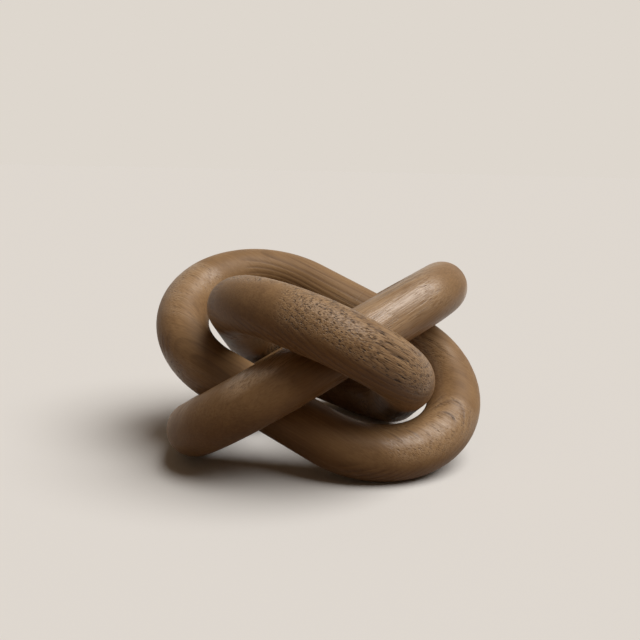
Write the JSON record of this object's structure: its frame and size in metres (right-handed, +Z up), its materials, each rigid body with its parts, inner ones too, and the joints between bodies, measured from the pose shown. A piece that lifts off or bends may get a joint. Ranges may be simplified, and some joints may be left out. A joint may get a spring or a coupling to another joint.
{
  "type": "interlocked wooden ring knot ornament",
  "caption": "Free-standing table ornament: round-section wooden rings, each a closed racetrack, linked so that none comes free, folded together and resting on their lower ends.",
  "frame": {"origin": "on the table, under the middle of the folded knot's box", "axes": "+Z up, +X to the right and +Y away from the viewer of the pictured side"},
  "size_m": [0.1868, 0.1866, 0.1088],
  "materials": {
    "stained_wood": "open-pored hardwood, stained dark brown, brushed along the grain and waxed to a satin sheen",
    "dowel_wood": "turned beech, bare"
  },
  "bodies": {
    "left_ring": {"left_ring_lower_half": "stained_wood", "left_ring_upper_half": "stained_wood", "left_ring_lower_dowel": "dowel_wood", "left_ring_upper_dowel": "dowel_wood"},
    "right_ring": {"right_ring_lower_half": "stained_wood", "right_ring_upper_half": "stained_wood", "right_ring_lower_dowel": "dowel_wood", "right_ring_upper_dowel": "dowel_wood"},
    "front_ring": {"front_ring_lower_half": "stained_wood", "front_ring_upper_half": "stained_wood", "front_ring_lower_dowel": "dowel_wood", "front_ring_upper_dowel": "dowel_wood"}
  },
  "joints": [
    {"name": "right_ring_opens", "type": "hinge", "parent": "left_ring", "child": "right_ring", "pos_m": [0, 0.00134, 0.05426], "axis": [-0.682, -0.7036, 0.1995], "range_deg": [0, 50]},
    {"name": "front_ring_opens", "type": "hinge", "parent": "left_ring", "child": "front_ring", "pos_m": [0, 0.00134, 0.05426], "axis": [-0.9469, 0.3171, 0.0533], "range_deg": [0, 50]}
  ],
  "couplings": [
    {"joint": "front_ring_opens", "follows": "right_ring_opens", "ratio": 1}
  ]
}
